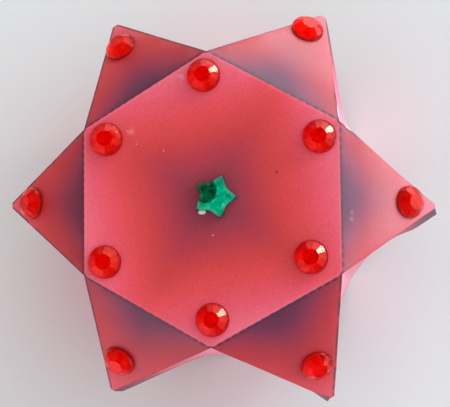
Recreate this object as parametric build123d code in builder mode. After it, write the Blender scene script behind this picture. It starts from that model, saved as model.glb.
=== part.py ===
from build123d import *
from math import atan2, cos, degrees, hypot, radians, sin, sqrt, tan
import os

# Faceted six-pointed gift box of printed card, in millimetres, +Z up.
# The origin is the middle of the bottom face, on the surface the box stands on.
# Points look along 0, 60, 120... degrees, and the corners of the face lie between them.

# Card
card = 0.35                # thickness of the printed card
face_side = 44.0           # side of the hexagonal face, and of every triangular facet
facet_drop = 24.5          # how far a point lies below the face
ridge_height = 9.0         # upright fold at the tip of each point
tip_width = 1.8            # width of the blunt fold at the tip

# Fit of the lid over the base
nest_gap = 0.3             # between the lid's glue tabs and the base's walls
seat_gap = 0.3             # between the lid's facets and the base's rim, at the points
foot_gap = 0.6             # from the table up to the lowest corners of the lid's walls

# Glue tabs
tab_width = 6.0            # from the fold to the tab's free edge
tab_taper = 0.35           # how fast a tab narrows towards its free edge
ridge_tab_setback = 1.0    # from the ends of a ridge to its tab
valley_tab_setback = 5.0   # from the ends of a valley to its tab

# Round gems
gem_radius = 5.0
gem_height = 3.4
gem_girdle = 0.7           # upright band round the flat back
gem_lower_slope = 63.0     # degrees from the back, the ring of small facets by the girdle
gem_upper_slope = 40.0     # degrees from the back, the ring of large facets by the table
gem_table_radius = 2.3
gem_facets = 12            # large facets round the table, with two small ones below each

# Star gem
star_radius = 6.75
star_waist = 4.4           # from the centre to the corners between the star's arms
star_arms = 5
star_girdle = 1.2          # upright band round the flat back
star_height = 2.4
star_table_share = 0.76    # size of the flat top against the outline
star_turn = 1.0            # degrees, one arm against +X
star_place = (1.5, 0.9)    # where it was glued, from the middle of the face

# Each gem was glued by hand. Corner gems go round from the corner at 30 degrees, as the distance
# in from the corner and the turn from it. Point gems go round from the point at 0 degrees, as the
# distance up the facet from its sharp point and the distance to the left of its middle.
corner_gem_places = [(6.8, -0.7), (6.9, 2.8), (7.8, -0.6), (7.6, 0.0), (8.6, 1.1), (9.6, 0.1)]
point_gem_places = [(11.7, -0.2), (9.2, 2.6), (13.2, 1.4), (12.4, -0.8), (14.2, -2.0), (12.7, 1.7)]

os.makedirs("parts", exist_ok=True)

# Worked out from the sizes above
points = 6
step = 360 / points
face_apothem = face_side * cos(radians(step / 2))
facet_run = sqrt(face_apothem**2 - facet_drop**2)
facet_slope = degrees(atan2(facet_drop, facet_run))
point_reach = face_apothem + facet_run
height = 2 * facet_drop + ridge_height
wall_length = hypot(facet_run, face_side / 2)
wall_turn = degrees(atan2(face_side / 2, facet_run))
tip_cut = point_reach - tip_width / 2 / tan(radians(wall_turn))
overrun = card + height

# The base's outline stands inside the lid's walls and the glue tabs on them
nest_inset = 2 * card + nest_gap
base_side = face_side - nest_inset / cos(radians(step / 2))
base_apothem = base_side * cos(radians(step / 2))
base_reach = tip_cut - nest_inset
rim_level = (height - card / cos(radians(facet_slope))
             - (base_reach - face_apothem) * tan(radians(facet_slope)) - seat_gap)


def star_block(inset, low, high):
    """Upright block of the star outline, its walls moved in by inset."""
    valley = face_side - inset / cos(radians(step / 2))
    tip = point_reach - inset / sin(radians(wall_turn))
    valley_x = valley * cos(radians(step / 2))
    valley_y = valley * sin(radians(step / 2))
    with BuildPart() as block:
        with BuildSketch(Plane.XY.offset(low)):
            with PolarLocations(0, points):
                Polygon((0, 0), (valley_x, -valley_y), (tip, 0), (valley_x, valley_y), align=None)
            RegularPolygon(tip_cut - inset, points, major_radius=False, rotation=step / 2,
                           mode=Mode.INTERSECT)
        extrude(amount=high - low)
    return block.part


def facet_block(apothem, face_level, far_level):
    """Block from a hexagonal face to a far level, its six sides sloping out as the facets do."""
    spread = abs(far_level - face_level) / tan(radians(facet_slope))
    with BuildPart() as block:
        with BuildSketch(Plane.XY.offset(face_level)):
            RegularPolygon(apothem, points, major_radius=False, rotation=step / 2)
        with BuildSketch(Plane.XY.offset(far_level)):
            RegularPolygon(apothem + spread, points, major_radius=False, rotation=step / 2)
        loft(ruled=True)
    return block.part


def wall_plane(direction, side, inset):
    """Plane along a wall, x from the tip to the valley and y up, moved in by inset."""
    turn = radians(direction + side * (180 - wall_turn))
    along = Vector(cos(turn), sin(turn), 0)
    inward = Vector(0, 0, 1).cross(along) * side
    tip = Vector(point_reach, 0, 0).rotate(Axis.Z, direction)
    return Plane(origin=tip + inward * inset, x_dir=along, z_dir=inward * side * -1)


def tab_outline(fold, free, low, high):
    """Glue tab in its wall's plane, from its fold line to its free edge."""
    taper = tab_taper * abs(free - fold)
    return [(fold, low), (fold, high), (free, high - taper), (free, low + taper)]


def glue_tabs(inset, ridge_span, valley_span, hollow):
    """Tabs stuck flat inside the walls, trimmed to the hollow they stand in."""
    ridge_low, ridge_high = ridge_span
    valley_low, valley_high = valley_span
    with BuildPart() as tabs:
        for index in range(points):
            left_wall = wall_plane(index * step, 1, inset)
            with BuildSketch(left_wall):
                Polygon(*tab_outline(0, tab_width, ridge_low, ridge_high), align=None)
            extrude(amount=-card)
            right_wall = wall_plane(index * step, -1, inset)
            with BuildSketch(right_wall):
                Polygon(*tab_outline(wall_length, wall_length - tab_width, valley_low, valley_high),
                        align=None)
            extrude(amount=card)
        add(hollow, mode=Mode.INTERSECT)
    return tabs.part


def inner_apothem(apothem):
    """Apothem of a face's inner side: the card's thickness pulls its folds in a little."""
    return apothem - card * tan(radians(facet_slope / 2))


def gem_tier(seat, sides, level, apothem, slope):
    """Ring of gem facets that pass through an apothem at a level above the seat."""
    lower_apothem = apothem + level / tan(radians(slope))
    upper_apothem = apothem - (gem_height - level) / tan(radians(slope))
    with BuildPart() as tier:
        with BuildSketch(seat):
            RegularPolygon(lower_apothem, sides, major_radius=False)
        with BuildSketch(seat.offset(gem_height)):
            RegularPolygon(upper_apothem, sides, major_radius=False)
        loft(ruled=True)
    return tier.part


def round_gem(seat):
    """Flat-backed gem, cut round: a girdle, two rings of facets and a flat table."""
    girdle_sides = 2 * gem_facets
    lower = gem_tier(seat, girdle_sides, gem_girdle, gem_radius, gem_lower_slope)
    upper = gem_tier(seat, gem_facets, gem_height, gem_table_radius, gem_upper_slope)
    with BuildPart() as gem:
        with BuildSketch(seat):
            RegularPolygon(gem_radius, girdle_sides, major_radius=False)
        extrude(amount=gem_height)
        add(lower, mode=Mode.INTERSECT)
        add(upper, mode=Mode.INTERSECT)
    return gem.part


def star_corners(scale):
    """Corners of the star gem's outline, at a share of its size."""
    corners = []
    for index in range(2 * star_arms):
        radius = scale * (star_waist if index % 2 else star_radius)
        turn = radians(star_turn + index * 180 / star_arms)
        corners.append((radius * cos(turn), radius * sin(turn)))
    return corners


# The lid is one folded sheet: the face, six facets and twelve walls, glued at ridges and valleys.
# Its walls hang down to cut edges that run along the base's facets.
lid_ceiling = height - card
with BuildPart() as lid_hollow:
    add(star_block(card, -card, lid_ceiling))
    add(facet_block(inner_apothem(face_apothem), lid_ceiling, -overrun), mode=Mode.INTERSECT)

lid_tabs = glue_tabs(
    card,
    (facet_drop + ridge_tab_setback, facet_drop + ridge_height - ridge_tab_setback),
    (valley_tab_setback, height - valley_tab_setback),
    lid_hollow.part,
)

with BuildPart() as lid:
    add(star_block(0, 0, height))
    add(facet_block(face_apothem, height, -overrun), mode=Mode.INTERSECT)
    add(facet_block(face_apothem, foot_gap, height + overrun), mode=Mode.INTERSECT)
    add(lid_hollow.part, mode=Mode.SUBTRACT)
    add(lid_tabs)
lid.part.label = "lid"
export_step(lid.part, "parts/lid.step")

# The base is a second folded sheet: the bottom face, six facets and twelve upright walls that
# stand up inside the lid to a level rim. The lid's facets rest on the rim at the points.
with BuildPart() as base_hollow:
    add(star_block(nest_inset + card, card, overrun))
    add(facet_block(inner_apothem(base_apothem), card, card + overrun), mode=Mode.INTERSECT)

base_tabs = glue_tabs(
    nest_inset + card,
    (facet_drop + ridge_tab_setback, rim_level - ridge_tab_setback),
    (valley_tab_setback, rim_level - ridge_tab_setback),
    base_hollow.part,
)

with BuildPart() as base:
    add(star_block(nest_inset, 0, rim_level))
    add(facet_block(base_apothem, 0, overrun), mode=Mode.INTERSECT)
    add(base_hollow.part, mode=Mode.SUBTRACT)
    add(base_tabs)
base.part.label = "base"
export_step(base.part, "parts/base.step")

# Six round gems on the face, one by each corner
for index, (inward, turn) in enumerate(corner_gem_places):
    direction = (index + 0.5) * step + turn
    centre = Vector(face_side - inward, 0, height).rotate(Axis.Z, direction)
    outward = Vector(1, 0, 0).rotate(Axis.Z, direction)
    gem = round_gem(Plane(origin=centre, x_dir=outward, z_dir=(0, 0, 1)))
    gem.label = f"corner_gem_{index + 1}"
    export_step(gem, f"parts/{gem.label}.step")

# Six round gems lying on the facets, one near each point
for index, (up, left) in enumerate(point_gem_places):
    slope = radians(facet_slope)
    centre = Vector(point_reach - up * cos(slope), left, height - facet_drop + up * sin(slope))
    downhill = Vector(cos(slope), 0, -sin(slope))
    outward = Vector(sin(slope), 0, cos(slope))
    seat = Plane(origin=centre.rotate(Axis.Z, index * step),
                 x_dir=downhill.rotate(Axis.Z, index * step),
                 z_dir=outward.rotate(Axis.Z, index * step))
    gem = round_gem(seat)
    gem.label = f"point_gem_{index + 1}"
    export_step(gem, f"parts/{gem.label}.step")

# One star gem in the middle of the face
star_seat = Plane(origin=(star_place[0], star_place[1], height), z_dir=(0, 0, 1))
with BuildPart() as star_gem:
    with BuildSketch(star_seat):
        Polygon(*star_corners(1), align=None)
    extrude(amount=star_girdle)
    with BuildSketch(star_seat.offset(star_girdle)):
        Polygon(*star_corners(1), align=None)
    with BuildSketch(star_seat.offset(star_height)):
        Polygon(*star_corners(star_table_share), align=None)
    loft(ruled=True)
star_gem.part.label = "star_gem"
export_step(star_gem.part, "parts/star_gem.step")
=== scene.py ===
from math import atan2, cos, degrees, pi, radians, sin, tan

import bmesh
import bpy
from mathutils import Matrix, Vector, noise


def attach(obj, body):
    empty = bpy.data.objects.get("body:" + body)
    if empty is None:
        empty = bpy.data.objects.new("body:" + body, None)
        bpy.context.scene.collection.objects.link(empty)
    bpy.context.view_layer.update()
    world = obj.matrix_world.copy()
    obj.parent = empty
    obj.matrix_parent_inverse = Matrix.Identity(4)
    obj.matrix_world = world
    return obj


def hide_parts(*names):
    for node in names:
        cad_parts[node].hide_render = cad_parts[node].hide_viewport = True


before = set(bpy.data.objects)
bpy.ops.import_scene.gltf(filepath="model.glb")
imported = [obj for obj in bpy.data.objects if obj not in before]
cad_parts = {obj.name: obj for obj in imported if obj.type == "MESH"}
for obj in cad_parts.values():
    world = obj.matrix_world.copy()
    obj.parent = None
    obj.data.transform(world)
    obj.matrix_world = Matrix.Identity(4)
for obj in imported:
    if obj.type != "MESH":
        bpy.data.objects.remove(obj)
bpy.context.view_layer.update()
scene = bpy.context.scene
scene.view_settings.view_transform = "Standard"

# Camera
# The picture was taken from almost straight above, from half a metre up, a little to the
# right of the box and in front of it.
camera_data = bpy.data.cameras.new("camera")
camera_data.sensor_fit = "HORIZONTAL"
camera_data.sensor_width = 36
camera_data.lens = 120
camera_data.clip_start = 0.01
camera = bpy.data.objects.new("camera", camera_data)
camera.matrix_world = Matrix((
    (0.9923198, 0.0117190, 0.1231425, 0.0589487),
    (-0.0027522, 0.9973475, -0.0727353, -0.0333474),
    (-0.1236683, 0.0718377, 0.9897199, 0.4957657),
    (0, 0, 0, 1),
))
scene.collection.objects.link(camera)
scene.camera = camera

# Table
# A plain pale table top with a dull finish. The box stands on it in soft daylight, and it
# goes on past the picture's edges on all sides.
floor_mesh = bpy.data.meshes.new("table_top")
floor_shape = bmesh.new()
bmesh.ops.create_grid(floor_shape, x_segments=1, y_segments=1, size=1.5)
floor_shape.to_mesh(floor_mesh)
floor_shape.free()
floor = bpy.data.objects.new("table_top", floor_mesh)
scene.collection.objects.link(floor)


def new_material(name):
    """A material with nodes, and its main shader's sockets."""
    material = bpy.data.materials.new(name)
    material.use_nodes = True
    return material, material.node_tree.nodes["Principled BSDF"].inputs


floor_material, sockets = new_material("pale_table")
sockets["Base Color"].default_value = (0.73, 0.705, 0.705, 1)
sockets["Roughness"].default_value = 0.7
sockets["Specular IOR Level"].default_value = 0.2
floor_mesh.materials.append(floor_material)

# Light
# Daylight in a pale room: the low windows on the right are bright, a smaller one stands on the
# lower left, the other walls are dim close to the table, and a patch overhead is in shade.
window_light = (                # direction from +X in degrees, and colour
    (0, (4.4, 5.8, 6.5, 1)),
    (60, (5.3, 7.4, 7.6, 1)),
    (180, (1.5, 0.2, 0.2, 1)),  # a red glow from the left, not a window
    (240, (2.8, 2.4, 3.0, 1)),
)
window_narrowness = 4.0
window_tops = (0.3, 0.6)            # steepness: 0 level with the table, 1 straight up
wall_light = (0.85, 0.91, 0.88, 1)
shade_start = (0.90, 0.975)         # steepness
shade = (0.01, 0.01, 0.01, 1)
backdrop = (0.70, 0.685, 0.69, 1)   # what the camera sees past the table


class Wiring:
    """Adds nodes to a tree and links them, one short call for each."""

    def __init__(self, tree):
        self.tree = tree

    def link(self, source, target):
        if isinstance(source, (int, float, tuple)):
            target.default_value = source
        else:
            self.tree.links.new(source, target)

    def math(self, operation, *values):
        node = self.tree.nodes.new("ShaderNodeMath")
        node.operation = operation
        for value, socket in zip(values, node.inputs):
            self.link(value, socket)
        return node.outputs[0]

    def product(self, first, *others):
        for other in others:
            first = self.math("MULTIPLY", first, other)
        return first

    def largest(self, first, *others):
        for other in others:
            first = self.math("MAXIMUM", first, other)
        return first

    def vector(self, operation, *values):
        node = self.tree.nodes.new("ShaderNodeVectorMath")
        node.operation = operation
        sockets = (node.inputs[0], node.inputs["Scale"]) if operation == "SCALE" else node.inputs
        for value, socket in zip(values, sockets):
            self.link(value, socket)
        return node.outputs["Value" if operation in ("DOT_PRODUCT", "DISTANCE") else "Vector"]

    def mix(self, factor, first, second, blend="MIX"):
        """Two colours mixed: the node's sockets 6 and 7, and output 2, are those for colours."""
        node = self.tree.nodes.new("ShaderNodeMix")
        node.data_type = "RGBA"
        node.blend_type = blend
        self.link(factor, node.inputs[0])
        self.link(first, node.inputs[6])
        self.link(second, node.inputs[7])
        return node.outputs[2]

    def ramp(self, factor, stops):
        node = self.tree.nodes.new("ShaderNodeValToRGB")
        elements = node.color_ramp.elements
        while len(elements) > 1:
            elements.remove(elements[-1])
        for index, (position, colour) in enumerate(stops):
            element = elements[0] if index == 0 else elements.new(position)
            element.position = position
            element.color = colour
        self.link(factor, node.inputs[0])
        return node.outputs[0]

    def noise(self, place, scale, detail, roughness):
        node = self.tree.nodes.new("ShaderNodeTexNoise")
        node.inputs["Scale"].default_value = scale
        node.inputs["Detail"].default_value = detail
        node.inputs["Roughness"].default_value = roughness
        self.link(place, node.inputs["Vector"])
        return node.outputs["Fac"]

    def own_place(self):
        """Place on the piece, in its own coordinates."""
        return self.tree.nodes.new("ShaderNodeTexCoord").outputs["Object"]

    def group(self, group, **values):
        """Outputs of a node group, placed with its own values."""
        node = self.tree.nodes.new("ShaderNodeGroup")
        node.node_tree = group
        for label, value in values.items():
            self.link(value, node.inputs[label])
        return node.outputs

    def fade_in(self, value, low, high):
        """0 below low, 1 above high, and a soft step between them."""
        node = self.tree.nodes.new("ShaderNodeMapRange")
        node.interpolation_type = "SMOOTHSTEP"
        self.link(value, node.inputs["Value"])
        self.link(low, node.inputs["From Min"])
        self.link(high, node.inputs["From Max"])
        return node.outputs["Result"]

    def fade_out(self, value, low, high):
        """1 below low, 0 above high, and a soft step between them."""
        return self.math("SUBTRACT", 1.0, self.fade_in(value, low, high))


world = bpy.data.worlds.new("room")
world.use_nodes = True
wire = Wiring(world.node_tree)
direction = world.node_tree.nodes.new("ShaderNodeTexCoord").outputs["Generated"]
room = world.node_tree.nodes.new("ShaderNodeSeparateXYZ")
wire.link(direction, room.inputs[0])
steepness = room.outputs[2]
overhead = wire.fade_in(steepness, *shade_start)
low = wire.fade_out(steepness, *window_tops)
between = wire.math("SUBTRACT", wire.math("SUBTRACT", 1.0, overhead), low)
light = wire.mix(between, shade, wall_light)
for turn, colour in window_light:
    facing = wire.vector("DOT_PRODUCT", direction, (cos(radians(turn)), sin(radians(turn)), 0))
    facing = wire.math("POWER", wire.math("MAXIMUM", facing, 0.0), window_narrowness)
    share = wire.product(low, facing)
    light = wire.mix(1.0, light, wire.mix(share, (0, 0, 0, 1), colour), "ADD")
seen = world.node_tree.nodes.new("ShaderNodeLightPath").outputs["Is Camera Ray"]
wire.link(wire.mix(seen, light, backdrop), world.node_tree.nodes["Background"].inputs["Color"])
scene.world = world

# One bright pane, which makes the glints in the gems
pane_place = Vector((1.0, 0.75, 0.34))
box_middle = Vector((0, 0, 0.04))
pane_data = bpy.data.lights.new("window_pane", "AREA")
pane_data.shape = "RECTANGLE"
pane_data.size = 0.07
pane_data.size_y = 0.20
pane_data.energy = 3.4
pane_data.color = (1.0, 0.99, 0.97)
pane = bpy.data.objects.new("window_pane", pane_data)
pane.location = pane_place
pane.rotation_euler = (box_middle - pane_place).to_track_quat("-Z", "Y").to_euler()
pane.visible_camera = False
scene.collection.objects.link(pane)


# Card
# Both sheets are printed card, cut out by hand. The print runs over the outside, and the
# inside and the cut edges are plain white.
def node_group(name, inputs, outputs):
    """Empty shader group with its named sockets, and its two end nodes' sockets."""
    group = bpy.data.node_groups.new(name, "ShaderNodeTree")
    for label, kind in inputs:
        group.interface.new_socket(label, in_out="INPUT", socket_type="NodeSocket" + kind)
    for label, kind in outputs:
        group.interface.new_socket(label, in_out="OUTPUT", socket_type="NodeSocket" + kind)
    start = group.nodes.new("NodeGroupInput").outputs
    end = group.nodes.new("NodeGroupOutput").inputs
    return group, start, end


def ink(red, green, blue):
    """Ink colour from its 0-255 picture values, as linear light."""
    def linear(value):
        value = value / 255
        return value / 12.92 if value <= 0.04045 else ((value + 0.055) / 1.055) ** 2.4
    return (linear(red), linear(green), linear(blue), 1)


# Layout of both sheets, in metres and radians
face_side = 0.044
fold_apothem = face_side * cos(radians(30))     # from the middle of the face to its folds
facet_slope = radians(40)
point_reach = fold_apothem * (1 + cos(facet_slope))
wall_turn = atan2(face_side / 2, point_reach - fold_apothem)
sheet_height = 0.058
foot_gap = 0.0006                               # from the table up to the lid's lowest edge

# Star coordinates of a place on the sheet as it was cut, before it was folded by hand: along is
# the distance out from the box's middle towards the nearest point, across is the distance from
# that point's middle line.
star_group, start, end = node_group(
    "star_coordinates", [],
    [("Place", "Vector"), ("Along", "Float"), ("Across", "Float"), ("Height", "Float")])
wire = Wiring(star_group)
attribute = star_group.nodes.new("ShaderNodeAttribute")
attribute.attribute_name = "as_cut"
place = attribute.outputs["Vector"]
separate = star_group.nodes.new("ShaderNodeSeparateXYZ")
wire.link(place, separate.inputs[0])
right, back, height = separate.outputs
reaches = []
for turn in (0, 60, 120):
    outward = (cos(radians(turn)), sin(radians(turn)), 0)
    reaches.append(wire.math("ABSOLUTE", wire.vector("DOT_PRODUCT", place, outward)))
along = wire.largest(*reaches)
flat_square = wire.math("ADD", wire.product(right, right), wire.product(back, back))
across_square = wire.math("SUBTRACT", flat_square, wire.product(along, along))
wire.link(place, end["Place"])
wire.link(along, end["Along"])
wire.link(wire.math("SQRT", wire.largest(across_square, 0.0)), end["Across"])
wire.link(height, end["Height"])

# Ink laid down a little unevenly, as by a desk printer: grain is the fine speckle, cloud the
# broad unevenness.
ink_group, start, end = node_group(
    "mottled_ink",
    [("Colour", "Color"), ("Place", "Vector"), ("Grain", "Float"), ("Cloud", "Float")],
    [("Colour", "Color")])
wire = Wiring(ink_group)
fine = wire.noise(start["Place"], scale=1400.0, detail=3.0, roughness=0.7)
broad = wire.noise(start["Place"], scale=60.0, detail=3.0, roughness=0.5)
grain = wire.math("MULTIPLY_ADD", wire.math("SUBTRACT", fine, 0.5), start["Grain"], 1.0)
cloud = wire.math("MULTIPLY_ADD", wire.math("SUBTRACT", broad, 0.5), start["Cloud"], 1.0)
wire.link(wire.vector("SCALE", start["Colour"], wire.product(grain, cloud)), end["Colour"])

# Card fibres: the height of the surface's grain, and a gloss that varies a little over it
gloss_change = 0.16
fibre_group, start, end = node_group(
    "card_fibres",
    [("Place", "Vector"), ("Roughness", "Float")],
    [("Height", "Float"), ("Roughness", "Float")])
wire = Wiring(fibre_group)
wire.link(wire.noise(start["Place"], scale=900.0, detail=4.0, roughness=0.6), end["Height"])
patches = wire.noise(start["Place"], scale=150.0, detail=3.0, roughness=0.6)
patches = wire.math("SUBTRACT", patches, 0.5)
wire.link(wire.math("MULTIPLY_ADD", patches, gloss_change, start["Roughness"]), end["Roughness"])


def drawn_line(wire, distance, width):
    """1 inside a drawn line's width and 0 outside it, with a soft edge."""
    return wire.fade_out(distance, width * 0.5, width * 1.5)


# Lines of the pattern, in metres: dashes beside the folds of the face, a thin line on the outer
# edges of the facets, a dot at each corner of the face, and a painted highlight, a pale band
# painted just inside each fold where its rounding catches the light.
# By one corner the edges are cracked, and the card's white core shows.
dash_offset = 0.00024               # outside the fold
dash_width = 0.00036
dash_pitch = 0.0025
dash_shift = 0.0008                 # along the fold
dash_ends = (0.0006, 0.0010)        # from a dash's middle, where its ink thins and is gone
gap_ink = (0.28, 0.40)              # ink between the dashes: everywhere, and more in patches
gap_patches = (0.4, 0.6)
# Painted highlight inside each fold: its place, width and strength
fold_highlight_offset = 0.0003                # inside the fold
fold_highlight_width = 0.0004
fold_highlight_strength = (0.2, 0.6)               # everywhere, and more in patches
dot_size = (0.0004, 0.0009)         # where its ink thins and is gone
dot_ink = 0.8
edge_width = 0.0006
edge_ink = (0.08, 0.85)             # everywhere, and more where the dark line is kept
edge_patches = (0.3, 0.5)
crack_corner = (0.0381, 0.0220, sheet_height)
crack_width = 0.0002
crack_start = (0.0008, 0.0014)      # how far from that corner the crack starts
crack_end = (0.0040, 0.0060)        # and how far from it the crack ends
crack_ragged = 0.012
# The edges that turn left keep a dark line, and so do those by the corners on the right:
# directions from the box's middle, and how nearly a place has to lie in them
edge_kept = (
    ((-0.9, 0.3, 0), -0.05, 0.35),
    ((0.70, -0.71, 0), 0.95, 0.97),
    ((0.85, 0.53, 0), 0.980, 0.993),
)
line_group, start, end = node_group(
    "pattern_lines",
    [("Colour", "Color"), ("Place", "Vector"), ("Along", "Float"), ("Across", "Float"),
     ("Dashes", "Float"), ("Edges", "Float"), ("Worn", "Float")],
    [("Colour", "Color")])
wire = Wiring(line_group)
place, along, across = start["Place"], start["Along"], start["Across"]
patchy = wire.noise(place, scale=240.0, detail=3.0, roughness=0.6)
broad = wire.noise(place, scale=45.0, detail=2.0, roughness=0.5)
past_fold = wire.math("SUBTRACT", along, fold_apothem)
# Painted highlight: the pale band painted just inside each fold
from_fold_highlight = wire.math("ABSOLUTE", wire.math("ADD", past_fold, fold_highlight_offset))
fold_highlight = wire.product(drawn_line(wire, from_fold_highlight, fold_highlight_width),
                    wire.math("MULTIPLY_ADD", patchy, fold_highlight_strength[1], fold_highlight_strength[0]), start["Worn"])
colour = wire.mix(fold_highlight, start["Colour"], ink(240, 140, 155))
from_dash = wire.math("PINGPONG", wire.math("ADD", across, dash_shift), dash_pitch / 2)
joined = wire.math("MULTIPLY_ADD", wire.fade_in(broad, *gap_patches), gap_ink[1], gap_ink[0])
dashed = wire.largest(wire.fade_out(from_dash, *dash_ends), joined)
beside_fold = wire.math("ABSOLUTE", wire.math("SUBTRACT", past_fold, dash_offset))
dashed = wire.product(dashed, drawn_line(wire, beside_fold, dash_width), start["Dashes"])
from_edge = wire.math("ABSOLUTE", wire.math(
    "SUBTRACT", wire.product(wire.math("SUBTRACT", point_reach, along), sin(wall_turn)),
    wire.product(across, cos(wall_turn))))
level = wire.vector("NORMALIZE", wire.vector("MULTIPLY", place, (1, 1, 0)))
kept = wire.largest(*[wire.fade_in(wire.vector("DOT_PRODUCT", level, outward), low, high)
                      for outward, low, high in edge_kept])
lined = wire.product(drawn_line(wire, from_edge, edge_width),
                     wire.math("MULTIPLY_ADD", kept, edge_ink[1], edge_ink[0]),
                     wire.fade_in(patchy, *edge_patches), start["Edges"])
past_corner = wire.math("SUBTRACT", across, face_side / 2)
from_corner = wire.math("SQRT", wire.math("ADD", wire.product(past_fold, past_fold),
                                          wire.product(past_corner, past_corner)))
dot = wire.product(wire.fade_out(from_corner, *dot_size), dot_ink)
colour = wire.mix(wire.largest(dashed, lined, dot), colour, ink(58, 18, 36))
ragged = wire.product(wire.math("SUBTRACT", patchy, 0.5), crack_ragged)
from_crack = wire.math("SUBTRACT", wire.vector("DISTANCE", place, crack_corner), ragged)
cracked = wire.product(drawn_line(wire, from_edge, crack_width),
                       wire.fade_out(from_crack, *crack_end),
                       wire.fade_in(from_crack, *crack_start))
wire.link(wire.mix(cracked, colour, ink(245, 225, 230)), end["Colour"])

# Dried glue that was wiped off beside a gem leaves a pale ragged mark
mark_ragged = 0.004
glue_mark_group, start, end = node_group(
    "wiped_glue",
    [("Colour", "Color"), ("Place", "Vector"), ("Middle", "Vector"), ("Reach", "Float"),
     ("Strength", "Float")],
    [("Colour", "Color")])
wire = Wiring(glue_mark_group)
ragged = wire.noise(start["Place"], scale=900.0, detail=3.0, roughness=0.7)
ragged = wire.product(wire.math("SUBTRACT", ragged, 0.5), mark_ragged)
gap = wire.math("ADD", wire.vector("DISTANCE", start["Place"], start["Middle"]), ragged)
smear = wire.fade_out(gap, wire.product(start["Reach"], 0.1), start["Reach"])
smear = wire.product(smear, start["Strength"])
wire.link(wire.mix(smear, start["Colour"], ink(250, 190, 200)), end["Colour"])


def card_material(name, print_colour, sheen, roughness, dashes=0.0, edges=0.0, fold_highlight=0.0):
    """Printed card: print_colour gives the ink's colour from the star coordinates."""
    material, sockets = new_material(name)
    wire = Wiring(material.node_tree)
    star = wire.group(star_group)
    colour = wire.group(ink_group, Colour=print_colour(wire, star), Place=star["Place"],
                        Grain=0.5, Cloud=0.22)["Colour"]
    if dashes or edges:
        colour = wire.group(line_group, Colour=colour, Place=star["Place"], Along=star["Along"],
                            Across=star["Across"], Dashes=dashes, Edges=edges,
                            Worn=fold_highlight)["Colour"]
    sockets["Specular Tint"].default_value = sheen
    wire.link(colour, sockets["Base Color"])
    fibres = wire.group(fibre_group, Place=star["Place"], Roughness=roughness)
    wire.link(fibres["Roughness"], sockets["Roughness"])
    bump = material.node_tree.nodes.new("ShaderNodeBump")
    bump.inputs["Strength"].default_value = 0.25
    bump.inputs["Distance"].default_value = 0.0002
    wire.link(fibres["Height"], bump.inputs["Height"])
    wire.link(bump.outputs[0], sockets["Normal"])
    return material


shading_reach = 0.040       # from a shaded square's middle to where its colours end


def face_print(wire, star):
    """Shaded square on the face: dark in the middle, orange-red round it, pink at the edges."""
    square_turn = radians(12)
    corner_softness = 0.006
    place = star["Place"]
    sides = []
    for turn in (square_turn, square_turn + pi / 2):
        side = wire.vector("DOT_PRODUCT", place, (cos(turn), sin(turn), 0))
        sides.append(wire.math("ABSOLUTE", side))
    square = wire.math("SMOOTH_MAX", *sides, corner_softness)
    colour = wire.ramp(wire.math("DIVIDE", square, shading_reach), [
        (0.0, ink(118, 43, 56)), (0.19, ink(147, 41, 60)), (0.34, ink(175, 44, 58)),
        (0.49, ink(200, 52, 54)), (0.64, ink(217, 62, 68)), (0.79, ink(227, 76, 94)),
        (0.94, ink(231, 94, 114))])
    for right, back, reach in ((-0.0237, 0.0211, 0.0016), (-0.0080, 0.0364, 0.0013)):
        colour = wire.group(glue_mark_group, Colour=colour, Place=place,
                            Middle=(right, back, sheet_height), Reach=reach,
                            Strength=0.2)["Colour"]
    # Bare specks that the ink missed, and one fleck of dark dust
    for right, back, size, tone in ((-0.0137, 0.0148, 0.00026, ink(228, 112, 108)),
                                    (-0.0219, 0.0171, 0.00022, ink(230, 116, 112)),
                                    (0.0008, -0.0106, 0.00026, ink(222, 112, 122)),
                                    (0.0196, 0.0076, 0.00040, ink(112, 32, 44))):
        gap = wire.vector("DISTANCE", place, (right, back, sheet_height))
        colour = wire.mix(wire.fade_in(gap, size * 0.67, size * 1.33), tone, colour)
    return colour


def facet_print(wire, star):
    """Half of a shaded square on each facet, dark by the fold and pink towards the point."""
    corner_softness = 0.0025
    side_share = 0.78           # how fast the colours run across against down the facet
    place, along, across = star["Place"], star["Along"], star["Across"]
    down = wire.math("DIVIDE", wire.math("SUBTRACT", along, fold_apothem), cos(facet_slope))
    rounded = wire.math("SQRT", wire.math("MULTIPLY_ADD", across, across, corner_softness**2))
    rounded = wire.math("SUBTRACT", rounded, corner_softness)
    square = wire.math("MULTIPLY_ADD", rounded, side_share, down)
    colour = wire.ramp(wire.math("DIVIDE", square, shading_reach), [
        (0.0, ink(80, 15, 50)), (0.125, ink(97, 16, 54)), (0.2, ink(118, 20, 57)),
        (0.275, ink(138, 25, 54)), (0.35, ink(155, 28, 46)), (0.425, ink(168, 31, 44)),
        (0.5, ink(178, 36, 43)), (0.65, ink(193, 46, 52)), (0.8, ink(208, 64, 74)),
        (0.95, ink(218, 89, 107))])
    # Painted sheen: the two points towards the right are painted paler, for the window light that
    # their glossy ink reflects
    most_painted_sheen = 0.17
    painted_sheen_side = (0.6, 0.8)         # how nearly a place lies in the direction between them
    painted_sheen_run = (0.043, 0.053)      # along
    level = wire.vector("NORMALIZE", wire.vector("MULTIPLY", place, (1, 1, 0)))
    rightwards = wire.vector("DOT_PRODUCT", level, (cos(radians(30)), sin(radians(30)), 0))
    painted_sheen = wire.product(wire.fade_in(rightwards, *painted_sheen_side), wire.fade_in(along, *painted_sheen_run),
                         most_painted_sheen)
    colour = wire.mix(painted_sheen, colour, ink(180, 145, 157))
    for middle in ((0.0411, -0.0043, 0.0555), (0.0411, -0.0060, 0.0555)):
        colour = wire.group(glue_mark_group, Colour=colour, Place=place, Middle=middle,
                            Reach=0.0012, Strength=0.09)["Colour"]
    return colour


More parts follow.
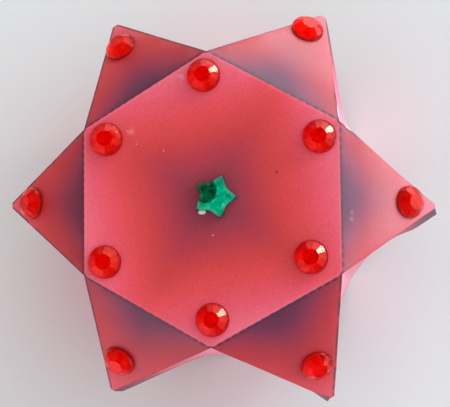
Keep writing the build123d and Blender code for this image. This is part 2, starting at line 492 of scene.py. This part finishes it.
def wall_colouring(wire, star):
    """Walls: pink by the valleys, dark at the points, with the pattern's cut line at the foot."""
    cut_line_width = 0.00045
    cut_line_ink = 0.85
    past_fold = wire.math("SUBTRACT", star["Along"], fold_apothem)
    colour = wire.ramp(wire.math("DIVIDE", past_fold, point_reach - fold_apothem), [
        (0.0, ink(228, 134, 150)), (0.22, ink(222, 108, 128)), (0.45, ink(210, 82, 106)),
        (0.64, ink(166, 52, 80)), (0.8, ink(110, 40, 62)), (1.0, ink(72, 28, 48))])
    cut_edge = wire.math("MULTIPLY_ADD", past_fold, tan(facet_slope), foot_gap)
    above_edge = wire.math("SUBTRACT", star["Height"], cut_edge)
    cut_line = wire.product(drawn_line(wire, above_edge, cut_line_width), cut_line_ink)
    return wire.mix(cut_line, colour, ink(40, 26, 42))


def no_print(wire, star):
    """Bare white card."""
    return ink(240, 238, 234)


ink_sheen = (1.0, 0.92, 0.94, 1)    # dark ink bronzes a little
white_sheen = (1.0, 1.0, 1.0, 1)
card_sides = (
    card_material("printed_face", face_print, ink_sheen, 0.45, dashes=0.85, fold_highlight=0.25),
    card_material("printed_facet", facet_print, ink_sheen, 0.45, dashes=0.85, edges=0.9,
                  fold_highlight=0.15),
    card_material("wall_card_colouring", wall_colouring, ink_sheen, 0.50),
    card_material("white_card", no_print, white_sheen, 0.60),
)
face_card, facet_card, wall_card, white_card = range(4)     # their numbers on a sheet

millimetre = 0.001
# Where the folded corners really came to lie against a perfect star, in millimetres: first the
# corners of the face, from the one at 30 degrees, then the points, from the one at 0 degrees.
corner_shifts = ((0.27, 0.80), (-1.03, 0.44), (0.03, -0.47), (0.24, -0.12), (0.21, 0.38),
                 (0.80, -0.18))
point_shifts = ((0.1, -0.7), (-0.69, 1.4), (-0.3, 0.15), (-0.2, 0.75), (-0.75, 0.05),
                (1.1, -2.1))
# How far the foot of each valley stands out, in millimetres, from the one at 30 degrees
valley_stands = (3.2, 1.8, 2.2, 2.8, 4.6, 0.1)
valley_softness = 0.0100        # how far the soft fold of a valley reaches, at its foot
valley_sharpness = 1.6          # how fast it gives way over that reach
# How far each wall's lower edge leans in half way along, and stands out at the point, in
# millimetres: for each point, its wall on the left looking out, then the one on the right
wall_bows = ((1.5, 2.3), (1.2, 0.0), (1.5, 1.5), (1.0, 1.0), (0.2, 1.2), (2.8, 1.4))
tip_flares = ((-1.0, 1.8), (0.2, 0.0), (0.4, 0.4), (0.4, 0.4), (0.8, 0.3), (-1.8, 2.0))
# How far each point's left side lies in towards its middle, in millimetres
left_pinches = (0.8, 0, 0, 0, 0, 0)
# Where all that happens, as shares of the way from the fold to the point
bow_end = 0.72
flare_start = 0.35
pinch_start, pinch_length = 0.15, 0.5
wall_depth = 0.0015             # a wall and its glue tabs, which lean as one
lean_fade = 0.009               # over the facet inside a wall
ridge_blend = 0.003             # from one wall of a point to the other


def within(value, low=0.0, high=1.0):
    """The value, held between two limits."""
    return max(low, min(high, value))


def heading(turn):
    """Level direction at an angle from +X, in degrees."""
    return Vector((cos(radians(turn)), sin(radians(turn)), 0))


def nearest_point(place):
    """Number of the point, from the one along +X, whose sector holds a place."""
    return round(degrees(atan2(place.y, place.x)) / 60) % 6


def shares(place, first, second, third):
    """How much of each corner of a triangle a level place has."""
    whole = (second - first).to_2d().cross((third - first).to_2d())
    of_second = (place - first).to_2d().cross((third - first).to_2d()) / whole
    of_third = (second - first).to_2d().cross((place - first).to_2d()) / whole
    return 1 - of_second - of_third, of_second, of_third


def leaning_walls(index, level, run):
    """How far a place moves with the two walls of its point: their lean at their lower edges,
    and the pinch of the left one. Run is its share of the way to the point."""
    outward = heading(60 * index)
    leftward = heading(60 * index + 90)
    of_left_wall = within(0.5 + leftward.dot(level) / ridge_blend)
    lean = Vector((0, 0, 0))
    for hand, side, share in ((0, 1, of_left_wall), (1, -1, 1 - of_left_wall)):
        normal = outward * sin(wall_turn) + leftward * side * cos(wall_turn)
        from_wall = (outward * point_reach - level).dot(normal)
        near_wall = max(0.0, 1 - max(0.0, from_wall - wall_depth) / lean_fade)
        bow = wall_bows[index][hand] * sin(pi * min(1.0, run / bow_end))
        flare = tip_flares[index][hand] * max(0.0, (run - flare_start) / (1 - flare_start)) ** 2
        lean -= normal * (bow - flare) * millimetre * near_wall * share
    pinch = left_pinches[index] * millimetre * of_left_wall
    return lean, leftward * -pinch * within((run - pinch_start) / pinch_length)


def hand_folded(place):
    """Where a place on the perfect sheet lies on the one that was folded by hand."""
    index = nearest_point(place)
    outward = heading(60 * index)
    left_corner = heading(60 * index + 30) * face_side
    right_corner = heading(60 * index - 30) * face_side
    left_shift = Vector((*corner_shifts[index], 0)) * millimetre
    right_shift = Vector((*corner_shifts[index - 1], 0)) * millimetre
    along = place.dot(outward)
    level = Vector((place.x, place.y, 0))
    moved = place.copy()
    if along <= fold_apothem:
        _, of_right, of_left = shares(level, Vector((0, 0, 0)), right_corner, left_corner)
        moved += right_shift * of_right + left_shift * of_left
    else:
        of_right, of_left, of_point = shares(level, right_corner, left_corner,
                                             outward * point_reach)
        half_height = sheet_height / 2
        facet_level = half_height - (along - fold_apothem) * tan(facet_slope)
        upwards = within((place.z - half_height) / facet_level, -1.0)   # 1 on the facet
        lean, pinch = leaning_walls(index, level, within(of_point))
        own = Vector((*point_shifts[index], 0)) * millimetre * of_point
        own += lean * (1 - upwards) / 2 + pinch
        moved += right_shift * of_right + left_shift * of_left + own
        moved.z -= own.dot(outward) * tan(facet_slope) * upwards
    valley = round((degrees(atan2(place.y, place.x)) - 30) / 60) % 6
    valley_heading = heading(60 * valley + 30)
    nearness = max(0.0, 1 - (level - valley_heading * face_side).length / valley_softness)
    depth = 1 - within(place.z / sheet_height)
    stand = valley_stands[valley] * millimetre * nearness**valley_sharpness * depth
    return moved + valley_heading * stand


def copied_shape(node, name, materials):
    """A copy of a node's mesh with new materials, and its shape with whole flat faces."""
    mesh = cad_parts[node].data.copy()
    mesh.name = name
    mesh.materials.clear()
    for material in materials:
        mesh.materials.append(material)
    shape = bmesh.new()
    shape.from_mesh(mesh)
    bmesh.ops.remove_doubles(shape, verts=shape.verts, dist=2e-6)
    bmesh.ops.dissolve_limit(shape, angle_limit=radians(0.5), use_dissolve_boundaries=False,
                             verts=shape.verts, edges=shape.edges, delimit=set())
    return mesh, shape


def cut_through(shape, place, normal):
    """Divides the shape's faces along a plane, so that they can bend there."""
    bmesh.ops.bisect_plane(shape, geom=shape.verts[:] + shape.edges[:] + shape.faces[:],
                           dist=1e-7, plane_co=place, plane_no=normal)


fold_softness = 0.00025
# Where a sheet is divided: close together by the middle lines of the points, then on a square
# grid, then in levels
middle_line_cuts = (-0.0085, -0.0063, -0.0044, -0.0027, -0.0012, 0,
                    0.0012, 0.0027, 0.0044, 0.0063, 0.0085)
grid_pitch = 0.0042
grid_reach = 15                 # lines on each side of the middle
level_count = 12


def folded_card(name, node, top_side):
    """The sheet's shape with rounded folds. Its faces take the print of their side."""
    mesh, shape = copied_shape(node, name, card_sides)
    for panel in shape.faces:
        facing = panel.normal.z * top_side      # 1 for the face, 0 for a wall
        point = heading(60 * nearest_point(panel.calc_center_median()))
        if facing > 0.95:
            panel.material_index = face_card
        elif facing > 0.3:
            panel.material_index = facet_card
        elif abs(facing) < 0.3 and panel.normal.dot(point) > 0.3:
            panel.material_index = wall_card
        else:
            panel.material_index = white_card
    folds = [edge for edge in shape.edges
             if all(panel.material_index != white_card for panel in edge.link_faces)
             and edge.calc_face_angle(0) > radians(5) and edge.is_convex]
    bmesh.ops.bevel(shape, geom=folds, offset=fold_softness, offset_type="OFFSET", segments=2,
                    profile=0.5, affect="EDGES", material=-1, clamp_overlap=True)
    for turn in (0, 60, 120):
        for offset in middle_line_cuts:
            cut_through(shape, heading(turn) * offset, heading(turn))
    for turn in (0, 90):
        for index in range(-grid_reach, grid_reach + 1):
            cut_through(shape, heading(turn) * index * grid_pitch, heading(turn))
    for index in range(1, level_count):
        cut_through(shape, (0, 0, index * sheet_height / level_count), (0, 0, 1))
    as_cut = shape.verts.layers.float_vector.new("as_cut")
    for vertex in shape.verts:
        vertex[as_cut] = vertex.co
        vertex.co = hand_folded(vertex.co)
    bmesh.ops.triangulate(shape, faces=[panel for panel in shape.faces if len(panel.verts) > 4])
    shape.to_mesh(mesh)
    shape.free()
    mesh.shade_smooth()
    mesh.set_sharp_from_angle(angle=radians(28))
    card = bpy.data.objects.new(name, mesh)
    scene.collection.objects.link(card)
    return card


lid = folded_card("lid_card_sheet", "lid", 1)
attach(lid, "lid")
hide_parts("lid")

base = folded_card("base_card_sheet", "base", -1)
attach(base, "base")
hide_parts("base")

# Round gems
# Clear red acrylic with a flat foil back, moulded with facets and glued on by hand, each turned
# its own way. The upright band round the back is painted dark, as painted shade.
gem_material, sockets = new_material("red_acrylic")
sockets["Base Color"].default_value = (1.0, 0.008, 0.003, 1)
sockets["Roughness"].default_value = 0.03
sockets["IOR"].default_value = 1.49
sockets["Specular Tint"].default_value = (1.0, 0.13, 0.08, 1)
sockets["Transmission Weight"].default_value = 1.0

# Painted shade: the clear acrylic's upright band is painted dark red and opaque, for how dark it
# looks
gem_band_painted_dark, sockets = new_material("red_acrylic_edge_painted_dark")
sockets["Base Color"].default_value = (0.36, 0.004, 0.003, 1)
sockets["Roughness"].default_value = 0.12

# Foil pressed on a little unevenly
crinkle_group, start, end = node_group(
    "foil_crinkle", [("Dark", "Color"), ("Bright", "Color")], [("Colour", "Color")])
wire = Wiring(crinkle_group)
crinkle = wire.noise(wire.own_place(), scale=500.0, detail=3.0, roughness=0.6)
crinkle = wire.fade_in(crinkle, 0.38, 0.60)
wire.link(wire.mix(crinkle, start["Dark"], start["Bright"]), end["Colour"])

gem_foil, sockets = new_material("red_foil")
wire = Wiring(gem_foil.node_tree)
crinkle = wire.group(crinkle_group, Dark=(0.80, 0.05, 0.03, 1), Bright=(1.0, 0.12, 0.07, 1))
wire.link(crinkle["Colour"], sockets["Base Color"])
sockets["Metallic"].default_value = 0.2
sockets["Roughness"].default_value = 0.4

# How far each gem is turned, in degrees
corner_gem_turns = (15, 6, 0, 29, 18, 19)
point_gem_turns = (6, 2, 9, 4, 11, 7)


def cut_gem(node, seat_normal, turn, materials):
    """Gem turned about its own middle, with softened facet edges and the foil just inside its
    back. The materials are those of its body, its foil and its band."""
    foil_depth = 0.00009
    foil_share = 0.965          # size of the foil against the back
    edge_softness = 0.00006
    mesh, shape = copied_shape(node, node + "_cut", materials)
    for panel in shape.faces:
        if abs(panel.normal.dot(seat_normal)) < 0.1:    # the upright band
            panel.material_index = 2
    back = min(shape.faces, key=lambda panel: panel.normal.dot(seat_normal))
    seat = back.calc_center_median()
    foil = bmesh.ops.duplicate(shape, geom=[back])["geom"]
    foil_corners = [part for part in foil if isinstance(part, bmesh.types.BMVert)]
    foil_panels = [part for part in foil if isinstance(part, bmesh.types.BMFace)]
    bmesh.ops.translate(shape, verts=foil_corners, vec=seat_normal * foil_depth)
    bmesh.ops.scale(shape, verts=foil_corners, vec=(foil_share, foil_share, foil_share),
                    space=Matrix.Translation(-seat))
    bmesh.ops.reverse_faces(shape, faces=foil_panels)
    for panel in foil_panels:
        panel.material_index = 1
    edges = [edge for edge in shape.edges
             if len(edge.link_faces) == 2 and edge.calc_face_angle(0) > radians(8)]
    bmesh.ops.bevel(shape, geom=edges, offset=edge_softness, offset_type="OFFSET", segments=1,
                    profile=0.5, affect="EDGES", material=-1)
    bmesh.ops.rotate(shape, verts=shape.verts, cent=seat,
                     matrix=Matrix.Rotation(radians(turn), 3, seat_normal))
    shape.to_mesh(mesh)
    shape.free()
    gem = bpy.data.objects.new(node + "_cut", mesh)
    scene.collection.objects.link(gem)
    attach(gem, "lid")
    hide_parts(node)


straight_up = Vector((0, 0, 1))
for index in range(6):
    cut_gem(f"corner_gem_{index + 1}", straight_up, corner_gem_turns[index],
            (gem_material, gem_foil, gem_band_painted_dark))
    facet_normal = heading(60 * index) * sin(facet_slope) + straight_up * cos(facet_slope)
    cut_gem(f"point_gem_{index + 1}", facet_normal, point_gem_turns[index],
            (gem_material, gem_foil, gem_band_painted_dark))

# Star gem
# Clear green acrylic with a foil back, glued in the middle of the face. Over one part the foil is
# painted dark, a painted reflection of the dark camera above, and the arm tips are painted pale,
# a painted highlight.
star_middle = (0.0015, 0.0009, sheet_height)
star_turn = -2.5                # degrees
# Painted highlight: past this reach from the star's middle the arm tips are painted paler
tip_highlight_start = (0.0060, 0.0073)   # from the star's middle, where the tips get pale
tip_highlight_ragged = 0.0016
# Painted reflection: round this place the foil is painted dark
painted_reflection_middle = (-0.0012, 0.0027, sheet_height)
painted_reflection_end = (0.0031, 0.0041)   # from that place
painted_reflection_ragged = 0.0050
# Painted highlight: the arm tips painted paler, on the acrylic and on its foil
tip_highlight_group, start, end = node_group(
    "painted_tip_highlight", [("Colour", "Color"), ("Rubbed", "Color")], [("Colour", "Color")])
wire = Wiring(tip_highlight_group)
place = wire.own_place()
ragged = wire.noise(place, scale=420.0, detail=3.0, roughness=0.6)
from_middle = wire.math("MULTIPLY_ADD", ragged, tip_highlight_ragged,
                        wire.vector("DISTANCE", place, star_middle))
tip_highlight = wire.fade_in(from_middle, *tip_highlight_start)
wire.link(wire.mix(tip_highlight, start["Colour"], start["Rubbed"]), end["Colour"])

star_material, sockets = new_material("green_acrylic")
wire = Wiring(star_material.node_tree)
tips = wire.group(tip_highlight_group, Colour=(0.02, 0.92, 0.66, 1), Rubbed=(0.50, 0.90, 0.74, 1))
wire.link(tips["Colour"], sockets["Base Color"])
sockets["Roughness"].default_value = 0.04
sockets["IOR"].default_value = 1.49
sockets["Specular Tint"].default_value = (0.3, 1.0, 0.75, 1)
sockets["Transmission Weight"].default_value = 1.0

# Painted shade: the star's upright band is painted near black, for its dark side and the shadow
# beside it
star_band_painted_dark, sockets = new_material("green_acrylic_edge_painted_dark")
sockets["Base Color"].default_value = (0.003, 0.015, 0.008, 1)
sockets["Roughness"].default_value = 0.3
sockets["Specular IOR Level"].default_value = 0.1

star_foil, sockets = new_material("green_foil")
wire = Wiring(star_foil.node_tree)
place = wire.own_place()
ragged = wire.noise(place, scale=420.0, detail=3.0, roughness=0.6)
ragged = wire.product(wire.math("SUBTRACT", ragged, 0.5), painted_reflection_ragged)
from_patch = wire.math("ADD", wire.vector("DISTANCE", place, painted_reflection_middle), ragged)
# Painted reflection of the dark camera above, painted as dark foil over the patch
painted_reflection = wire.fade_out(from_patch, *painted_reflection_end)
bright = wire.group(crinkle_group, Dark=(0.015, 0.60, 0.40, 1), Bright=(0.025, 0.86, 0.60, 1))
dark = wire.group(crinkle_group, Dark=(0.003, 0.03, 0.010, 1), Bright=(0.01, 0.20, 0.09, 1))
tips = wire.group(tip_highlight_group, Colour=wire.mix(painted_reflection, bright["Colour"], dark["Colour"]),
                  Rubbed=(0.45, 0.62, 0.50, 1))
wire.link(tips["Colour"], sockets["Base Color"])
sockets["Metallic"].default_value = 0.2
sockets["Roughness"].default_value = 0.35
cut_gem("star_gem", straight_up, star_turn, (star_material, star_foil, star_band_painted_dark))

# Glue
# A bead of white glue that was squeezed out from under the star when it was pressed on. It
# dried lumpy and cloudy, and stays on the lid.
bead_radius = 0.0009
bead_lumpiness = 0.25
lumps_per_metre = 1500
bead_place = (-0.0022, -0.0036, sheet_height + 0.0004)
glue_material, sockets = new_material("dried_glue")
wire = Wiring(glue_material.node_tree)
cloudy = wire.noise(wire.own_place(), scale=900.0, detail=2.0, roughness=0.5)
wire.link(wire.ramp(cloudy, [(0.3, ink(150, 190, 165)), (0.7, ink(225, 235, 225))]),
          sockets["Base Color"])
sockets["Roughness"].default_value = 0.3
bead_mesh = bpy.data.meshes.new("star_glue_bead")
bead_shape = bmesh.new()
bmesh.ops.create_icosphere(bead_shape, subdivisions=3, radius=bead_radius)
for vertex in bead_shape.verts:
    vertex.co *= 1 + bead_lumpiness * noise.noise(vertex.co * lumps_per_metre)
bmesh.ops.scale(bead_shape, verts=bead_shape.verts, vec=(1.3, 0.9, 0.7))
bmesh.ops.translate(bead_shape, verts=bead_shape.verts, vec=bead_place)
bead_shape.to_mesh(bead_mesh)
bead_shape.free()
bead_mesh.shade_smooth()
bead_mesh.materials.append(glue_material)
bead = bpy.data.objects.new("star_glue_bead", bead_mesh)
scene.collection.objects.link(bead)
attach(bead, "lid")
